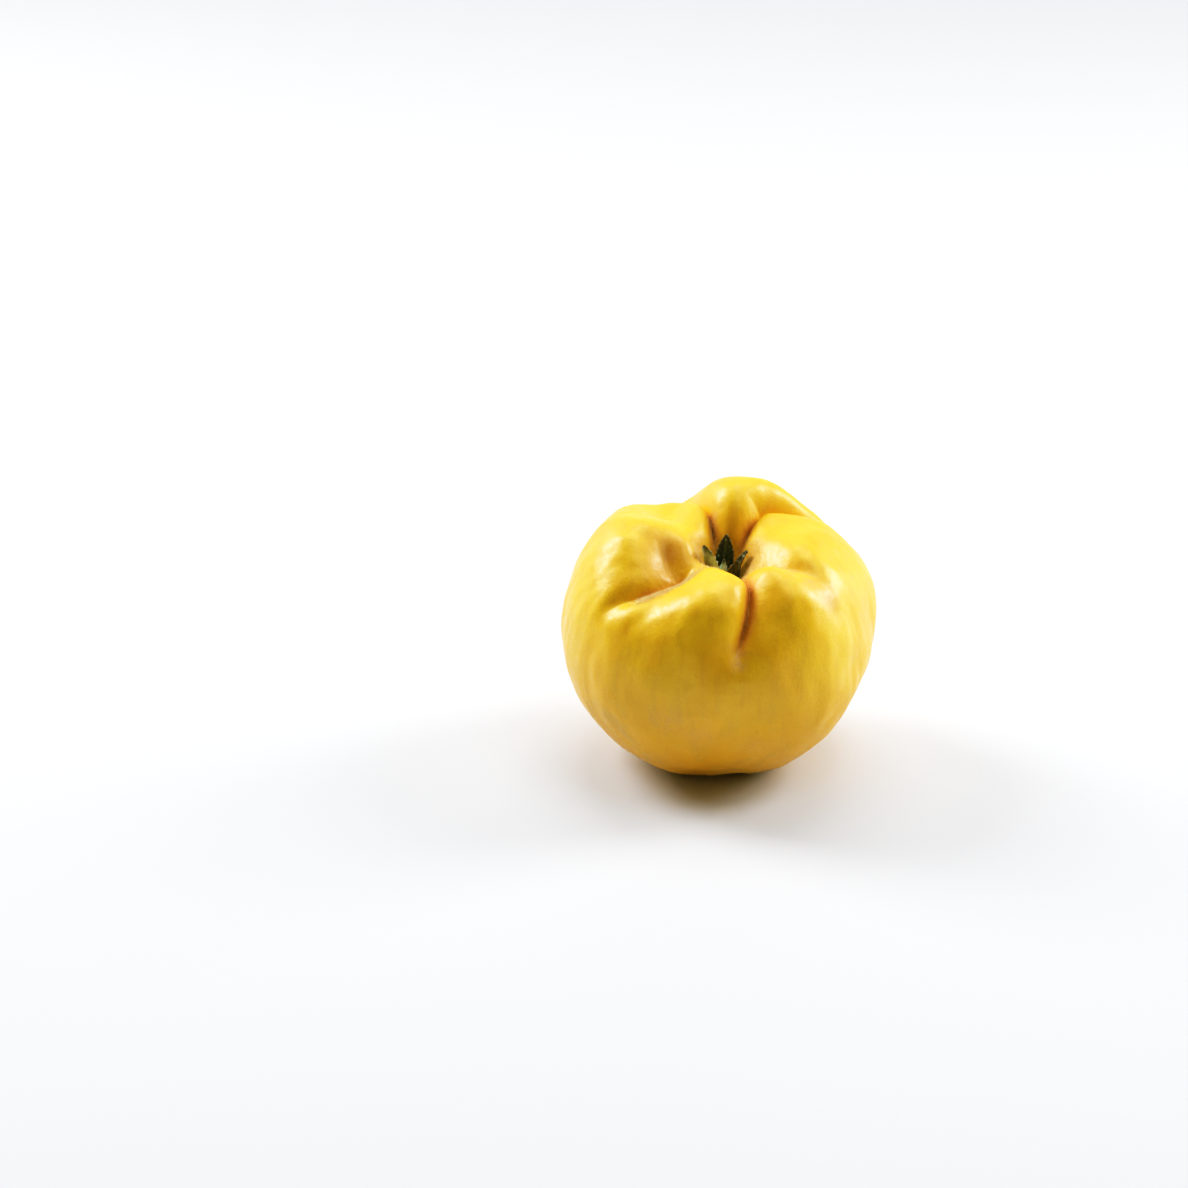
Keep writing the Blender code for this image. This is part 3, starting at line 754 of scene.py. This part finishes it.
def thread_mesh(length, radius, spread, sway):
    """A slender thread that bends outward as it rises, with an anther or a stigma at its tip."""
    mesh = ball("thread", THREAD_SIDES, THREAD_SEGMENTS)
    points = points_of(mesh)
    along = 0.5 + np.arcsin(np.clip(points[:, 2], -1.0, 1.0)) / np.pi
    size = np.linalg.norm(points[:, :2], axis=1)
    spin = np.arctan2(points[:, 1], points[:, 0])
    past_head = length * (along - 1.0) + 0.5 * ANTHER_LENGTH
    head = np.exp(-((past_head / (ANTHER_SPREAD * ANTHER_LENGTH)) ** 2))
    thick = radius * (1.0 - THREAD_TAPER * along) + ANTHER_RADIUS * head
    ends = np.minimum(np.sqrt(END_ROUNDING * (1.0 - along)), 1.0)
    thick = np.where(size < POLE_SIZE, 0.0, thick * ends)
    bend = spread * along**BEND_POWER
    x = thick * np.cos(spin) + length * bend
    y = thick * np.sin(spin) + length * sway * np.sin(np.pi * along)
    z = length * (along - 0.5 * bend * along) - THREAD_SINK
    set_points(mesh, np.stack([x, y, z], axis=-1))
    keep_mask(mesh, "tip", head)
    return mesh


def make_stamens(place, material):
    """The dry tuft of stamens round five styles, on a low cushion."""
    draw = np.random.default_rng(THREAD_SEED)
    cushion = ball("cushion", *CUSHION_SEGMENTS)
    points = points_of(cushion)
    rough = CUSHION_ROUGHNESS.height * waves(points, CUSHION_ROUGHNESS)
    points = points * (1.0 + rough[:, None])
    set_points(cushion, points * CUSHION_RADIUS * [1.0, 1.0, CUSHION_FLATNESS])
    cushion.transform(place)
    keep_mask(cushion, "tip", np.zeros(len(points)))
    meshes = [cushion]
    for ring in THREAD_RINGS:
        for index in range(ring.count):
            length = ring.length * draw.uniform(*LENGTH_RANGE)
            spread = ring.spread * draw.uniform(*SPREAD_RANGE)
            thread = thread_mesh(length, ring.radius, spread, draw.uniform(*SWAY_RANGE))
            azimuth = math.radians(360.0 * (index + draw.uniform(*PLACE_RANGE)) / ring.count)
            out_to_ring = Matrix.Translation((ring.out, 0.0, 0.0))
            thread.transform(place @ Matrix.Rotation(azimuth, 4, "Z") @ out_to_ring)
            meshes.append(thread)
    stamens = joined(meshes, "dry_tuft")
    stamens.data.shade_smooth()
    finish_piece(stamens, "stamens", material)


def make_stem(place, material):
    """The woody stub, with ridged bark and the scar where it broke from the twig."""
    mesh = ball("stem_stub", STEM_SIDES, STEM_RINGS)
    points = points_of(mesh)
    along = 0.5 - np.arcsin(np.clip(points[:, 2], -1.0, 1.0)) / np.pi
    spin = np.arctan2(points[:, 1], points[:, 0])
    steps = np.linspace(0.0, 1.0, len(STEM_SWELL))
    radius = STEM_RADIUS * np.interp(along, steps, STEM_SWELL)
    root = np.minimum(along / STEM_ROOT_SHARE, 1.0)
    end = np.minimum((1.0 - along) / STEM_END_SHARE, 1.0)
    where = np.column_stack([np.cos(spin), np.sin(spin), along]) * BARK_GRAIN
    thick = (radius + BARK.height * waves(where, BARK)) * root * np.sqrt(end)
    bow = STEM_BOW * along**2
    x = thick * np.cos(spin) + bow
    y = thick * np.sin(spin) + STEM_BOW_SIDEWAYS * bow
    set_points(mesh, np.stack([x, y, -STEM_LENGTH * along], axis=-1))
    mesh.transform(place)
    keep_mask(mesh, "scar", smooth_step(*SCAR_RISES, along))
    mesh.shade_smooth()
    stem = linked("stem_stub", mesh)
    finish_piece(stem, "stem", material)


class Graph:
    """A short way to write a material's nodes."""

    def __init__(self, name):
        self.material = bpy.data.materials.new(name)
        self.material.use_nodes = True
        self.tree = self.material.node_tree
        self.shader = self.tree.nodes["Principled BSDF"]
        self.place = self.node("ShaderNodeTexCoord").outputs["Object"]

    def node(self, kind, **settings):
        """A node with its settings."""
        made = self.tree.nodes.new(kind)
        for key, value in settings.items():
            setattr(made, key, value)
        return made

    def feed(self, socket, value):
        """Links a socket, or sets it to a plain value."""
        if isinstance(value, bpy.types.NodeSocket):
            self.tree.links.new(value, socket)
        elif socket.type == "RGBA" and len(value) == 3:
            socket.default_value = (*value, 1.0)
        else:
            socket.default_value = value

    def set(self, name, value):
        """Feeds one of the shader's sockets."""
        self.feed(self.shader.inputs[name], value)

    def mask(self, name):
        """A number that the mesh holds for each vertex."""
        return self.node("ShaderNodeAttribute", attribute_name=name).outputs["Fac"]

    def math(self, operation, first, second, clamp=False):
        """Arithmetic on two numbers."""
        made = self.node("ShaderNodeMath", operation=operation, use_clamp=clamp)
        self.feed(made.inputs[0], first)
        self.feed(made.inputs[1], second)
        return made.outputs[0]

    def times(self, first, second):
        """The product of two numbers."""
        return self.math("MULTIPLY", first, second)

    def plus(self, first, second):
        """The sum of two numbers, held between 0 and 1."""
        return self.math("ADD", first, second, clamp=True)

    def stretched(self, scale):
        """The place, scaled along each axis."""
        made = self.node("ShaderNodeMapping")
        self.feed(made.inputs["Vector"], self.place)
        made.inputs["Scale"].default_value = scale
        return made.outputs["Vector"]

    def clouds(self, size, detail=3.0, roughness=0.55, stretch=(1.0, 1.0, 1.0)):
        """Noise between 0 and 1 whose features have about the given size in metres."""
        made = self.node("ShaderNodeTexNoise")
        self.feed(made.inputs["Vector"], self.stretched(stretch))
        made.inputs["Scale"].default_value = 1.0 / size
        made.inputs["Detail"].default_value = detail
        made.inputs["Roughness"].default_value = roughness
        return made.outputs["Fac"]

    def dots(self, size, radius):
        """Small round spots, one to a cell of the given size, 1 in their middle."""
        made = self.node("ShaderNodeTexVoronoi")
        self.feed(made.inputs["Vector"], self.place)
        made.inputs["Scale"].default_value = 1.0 / size
        return self.remap(made.outputs["Distance"], radius, 0.5 * radius)

    def remap(self, value, low, high, out_low=0.0, out_high=1.0):
        """Maps low to out_low and high to out_high, smoothly and held at both ends."""
        made = self.node("ShaderNodeMapRange", interpolation_type="SMOOTHSTEP")
        for name, number in (
            ("Value", value), ("From Min", low), ("From Max", high),
            ("To Min", out_low), ("To Max", out_high),
        ):
            self.feed(made.inputs[name], number)
        return made.outputs["Result"]

    def mix(self, share, first, second):
        """Blends two colours."""
        made = self.node("ShaderNodeMix", data_type="RGBA")
        self.feed(made.inputs["Factor"], share)
        self.feed(made.inputs["A"], first)
        self.feed(made.inputs["B"], second)
        return made.outputs["Result"]

    def bump(self, height, distance, strength):
        """A surface normal that the height tilts."""
        made = self.node("ShaderNodeBump")
        self.feed(made.inputs["Height"], height)
        made.inputs["Distance"].default_value = distance
        made.inputs["Strength"].default_value = strength
        return made.outputs["Normal"]


def skin_material():
    """Golden waxy skin, mottled, rusty in the creases and tan where it is downy, with painted light
    and shade: lighter on top, darker below, in the eye and in the dents.
    """
    graph = Graph("quince_skin")
    large = graph.clouds(0.030, detail=2.0)
    medium = graph.clouds(0.009, detail=4.0, stretch=(1.0, 1.0, 0.55))
    fine = graph.clouds(0.0016, detail=4.0, roughness=0.65)
    streaks = graph.clouds(0.0022, detail=3.0, stretch=(1.0, 1.0, 0.12))
    upper = graph.mask("upper")

    # Painted light and shade: the skin goes from the darker gold low down to the lighter lemon on
    # top, as if lit from above
    shaded_gold = graph.mix(graph.remap(large, 0.35, 0.65), *SHADED_GOLD)
    lit_yellow = graph.mix(graph.remap(medium, 0.3, 0.7), *LIT_YELLOW)
    colour = graph.mix(graph.remap(upper, 0.15, 0.80), shaded_gold, lit_yellow)
    lower = graph.remap(upper, 0.70, 0.30)
    tired = graph.times(graph.remap(medium, 0.50, 0.72), lower)
    colour = graph.mix(graph.times(tired, 0.64), colour, TIRED_SKIN)
    colour = graph.mix(graph.times(graph.remap(streaks, 0.45, 0.75), 0.36), colour, STREAK)
    specks = graph.times(graph.dots(0.0034, 0.13), graph.remap(medium, 0.48, 0.60))
    colour = graph.mix(graph.times(specks, 0.50), colour, SPECK)

    # Painted shade: the hollow of the eye is darkened towards orange
    eye = graph.mask("eye")
    colour = graph.mix(graph.times(eye, 0.40), colour, EYE_HOLLOW_SHADE)
    # The dents are darkened: partly their own tint, partly painted shade
    colour = graph.mix(graph.times(graph.mask("amber_and_shade"), 0.90), colour, AMBER_AND_DENT_SHADE)
    rubbed = graph.times(graph.mask("rub"), graph.remap(fine, 0.25, 0.62))
    colour = graph.mix(graph.times(rubbed, 0.70), colour, RUBBED_SKIN)
    downy = graph.mask("down")
    broken = graph.remap(graph.plus(downy, graph.times(fine, 0.7)), 0.45, 1.05)
    colour = graph.mix(graph.times(broken, 0.55), colour, DOWNY_SKIN)
    rust = graph.remap(graph.plus(graph.mask("rust"), graph.times(fine, 0.35)), 0.30, 1.05)
    colour = graph.mix(graph.remap(rust, 0.0, 0.6), colour, RUST_EDGE)
    colour = graph.mix(graph.remap(rust, 0.5, 1.0), colour, RUST)
    grain = graph.clouds(0.0005, detail=3.0, roughness=0.7)
    colour = graph.mix(graph.times(graph.remap(grain, 0.50, 0.68), 0.22), colour, DARK_GRAIN)
    colour = graph.mix(graph.times(graph.remap(grain, 0.48, 0.32), 0.16), colour, PALE_GRAIN)
    graph.set("Base Color", colour)

    rough = graph.remap(fine, 0.35, 0.65, 0.37, 0.50)
    rough = graph.math("ADD", rough, graph.times(broken, 0.30))
    graph.set("Roughness", rough)
    graph.set("Specular IOR Level", 0.80)
    graph.set("Specular Tint", SKIN_HIGHLIGHT)
    graph.set("Subsurface Weight", 0.12)
    graph.set("Subsurface Radius", SKIN_SCATTER)
    graph.set("Subsurface Scale", 0.003)
    graph.set("Sheen Weight", 0.05)
    graph.set("Sheen Roughness", 0.45)
    graph.set("Sheen Tint", SKIN_SHEEN)
    graph.set("Coat Weight", 0.12)
    graph.set("Coat Roughness", 0.32)
    pores = graph.dots(0.0011, 0.5)
    height = graph.math("SUBTRACT", graph.times(fine, 0.8), graph.times(pores, 0.25))
    height = graph.math("ADD", height, graph.times(broken, graph.clouds(0.0005, detail=2.0)))
    graph.set("Normal", graph.bump(height, 0.00008, 0.7))
    return graph.material


def down_material():
    """Dull tan hairs."""
    graph = Graph("down_hair")
    graph.set("Base Color", graph.mix(graph.clouds(0.004), *HAIR_TAN))
    graph.set("Roughness", 0.7)
    return graph.material


def sepal_material():
    """Withered leaf: grey-green where it is young, black-brown where it is old, paler veins."""
    graph = Graph("withered_sepal")
    fine = graph.clouds(0.0005, detail=4.0)
    spots = graph.clouds(0.0016, detail=3.0)
    young = graph.mix(fine, *YOUNG_SEPAL)
    old = graph.mix(fine, *OLD_SEPAL)
    age = graph.plus(graph.mask("age"), graph.times(graph.remap(graph.mask("along"), 0.55, 1.0), 0.7))
    age = graph.plus(age, graph.math("SUBTRACT", graph.times(spots, 0.5), 0.25))
    colour = graph.mix(graph.remap(age, 0.25, 0.75), young, old)
    colour = graph.mix(graph.times(graph.mask("vein"), 0.30), colour, SEPAL_VEIN)
    margin = graph.times(graph.remap(graph.mask("edge"), 0.86, 1.0), graph.remap(spots, 0.45, 0.6))
    colour = graph.mix(graph.times(margin, 0.8), colour, SEPAL_MARGIN)
    flecks = graph.dots(0.0017, 0.22)
    colour = graph.mix(graph.times(flecks, 0.8), colour, SEPAL_FLECK)
    graph.set("Base Color", colour)
    graph.set("Roughness", graph.remap(fine, 0.3, 0.7, 0.55, 0.85))
    graph.set("Sheen Weight", 0.25)
    graph.set("Sheen Roughness", 0.5)
    graph.set("Normal", graph.bump(graph.clouds(0.0003, detail=4.0), 0.00008, 0.8))
    return graph.material


def dry_material():
    """Dry brown threads with darker tips."""
    graph = Graph("dry_stamen")
    fine = graph.clouds(0.0006, detail=3.0)
    thread = graph.mix(fine, *DRY_THREAD)
    graph.set("Base Color", graph.mix(graph.mask("tip"), thread, DRY_TIP))
    graph.set("Roughness", graph.remap(fine, 0.3, 0.7, 0.6, 0.9))
    graph.set("Normal", graph.bump(graph.clouds(0.0003, detail=3.0), 0.00005, 0.7))
    return graph.material


def wood_material():
    """Red-brown bark with grey patches, and a paler fibrous scar."""
    graph = Graph("stem_wood")
    bark = graph.clouds(0.0012, detail=5.0, stretch=(1.0, 1.0, 0.35))
    patches = graph.clouds(0.0035, detail=3.0)
    colour = graph.mix(graph.remap(bark, 0.3, 0.7), *BARK_BROWN)
    colour = graph.mix(graph.remap(patches, 0.55, 0.75), colour, BARK_PATCH)
    scar = graph.mix(graph.clouds(0.0006, detail=4.0), *STEM_SCAR)
    graph.set("Base Color", graph.mix(graph.mask("scar"), colour, scar))
    graph.set("Roughness", graph.remap(bark, 0.3, 0.7, 0.85, 0.6))
    graph.set("Normal", graph.bump(bark, 0.0002, 0.7))
    return graph.material


def floor_material():
    """A plain pale studio floor whose far part glows with painted light and brightens far away to the
    white of the surroundings.
    """
    graph = Graph("pale_floor")
    away = graph.node("ShaderNodeVectorMath", operation="LENGTH")
    graph.feed(away.inputs[0], graph.place)
    # Painted light: the floor's far part glows more the further out it is
    glow = graph.remap(away.outputs["Value"], FLOOR_GLOW_FROM, FLOOR_GLOW_TO)
    graph.set("Emission Color", WHITE)
    graph.set("Emission Strength", glow)
    graph.material.cycles.emission_sampling = "NONE"
    graph.set("Base Color", graph.mix(graph.clouds(0.4, detail=2.0), *FLOOR_PALE))
    graph.set("Roughness", 0.55)
    graph.set("Specular IOR Level", 0.2)
    return graph.material


def make_floor():
    """The surface that the fruit stands on."""
    mesh = mesh_from(
        lambda shape: bmesh.ops.create_circle(
            shape, cap_ends=True, segments=FLOOR_SIDES, radius=FLOOR_RADIUS
        ),
        "floor",
    )
    floor = linked("floor", mesh)
    mesh.materials.append(floor_material())


def aim(thing, target):
    """Turns a light or a camera, at its place, towards a point."""
    thing.rotation_euler = (Vector(target) - thing.location).to_track_quat("-Z", "Y").to_euler()


def make_lights():
    """Soft rectangular lights that shine at the fruit and aren't themselves seen."""
    for lamp in LAMPS:
        shining = bpy.data.lights.new(lamp.name, "AREA")
        shining.shape = "RECTANGLE"
        shining.size, shining.size_y = lamp.size
        shining.energy = lamp.watts
        light = linked(lamp.name, shining)
        light.location = lamp.place
        aim(light, FRUIT_MIDDLE)
        light.visible_camera = False


def make_surroundings():
    """Faint even light from all round, seen as white by the camera."""
    world = bpy.data.worlds.new("surroundings")
    bpy.context.scene.world = world
    world.use_nodes = True
    nodes, links = world.node_tree.nodes, world.node_tree.links
    soft = nodes["Background"]
    seen = nodes.new("ShaderNodeBackground")
    for background, strength in ((soft, EVEN_LIGHT), (seen, WHITE_LEVEL)):
        background.inputs["Color"].default_value = (*WHITE, 1.0)
        background.inputs["Strength"].default_value = strength
    path = nodes.new("ShaderNodeLightPath")
    mix = nodes.new("ShaderNodeMixShader")
    links.new(path.outputs["Is Camera Ray"], mix.inputs["Fac"])
    links.new(soft.outputs[0], mix.inputs[1])
    links.new(seen.outputs[0], mix.inputs[2])
    links.new(mix.outputs[0], nodes["World Output"].inputs["Surface"])


def make_camera():
    """The photo's camera: level from side to side, looking down at the fruit."""
    camera = linked("camera", bpy.data.cameras.new("camera"))
    camera.data.sensor_width = SENSOR_MM
    camera.data.lens = SENSOR_MM * CAMERA_DISTANCE / (PICTURE_SIZE * PIXEL)
    forward = Vector((0.0, math.cos(ELEVATION), -math.sin(ELEVATION)))
    right = Vector((1.0, 0.0, 0.0))
    up = right.cross(forward)
    middle = 0.5 * PICTURE_SIZE
    target = FRUIT_MIDDLE - right * (FRUIT_PIXEL[0] - middle) * PIXEL
    target += up * (FRUIT_PIXEL[1] - middle) * PIXEL
    camera.location = target - forward * CAMERA_DISTANCE
    aim(camera, target)
    bpy.context.scene.camera = camera


def set_tones():
    """Shows light by the tone curve and the blue curve."""
    view = bpy.context.scene.view_settings
    view.view_transform = "Standard"
    view.look = "None"
    view.use_curve_mapping = True
    curves = view.curve_mapping
    curves.white_level = (WHITE_LEVEL, WHITE_LEVEL, WHITE_LEVEL)
    for light, shown in TONE_CURVE:
        curves.curves[COMBINED_INDEX].points.new(light / WHITE_LEVEL, shown)
    for light, shown in BLUE_CURVE:
        curves.curves[BLUE_INDEX].points.new(light, shown)
    curves.update()


def raised(height):
    """A move straight up."""
    return Matrix.Translation((0.0, 0.0, height))


def main():
    """Builds every piece, then the floor, the lights and the camera."""
    skin, offset = make_skin(skin_material())
    make_down(skin, down_material())
    in_fruit = Matrix.Translation(offset)
    ahead = lean_heading()
    leaned = in_fruit @ Matrix.Rotation(LEAN, 4, (-ahead[1], ahead[0], 0.0))
    in_eye = leaned @ raised(TOP_HEIGHT - BASIN_DEPTH - EYE_DEPTH)
    make_calyx(in_eye @ raised(0.5 * COLLAR_THICKNESS), sepal_material())
    make_stamens(in_eye @ raised(CUSHION_RISE), dry_material())
    make_stem(in_fruit @ raised(PIT_DEPTH - BASE_HEIGHT + STEM_ROOT_DEPTH), wood_material())
    make_floor()
    make_lights()
    make_surroundings()
    make_camera()
    set_tones()


main()
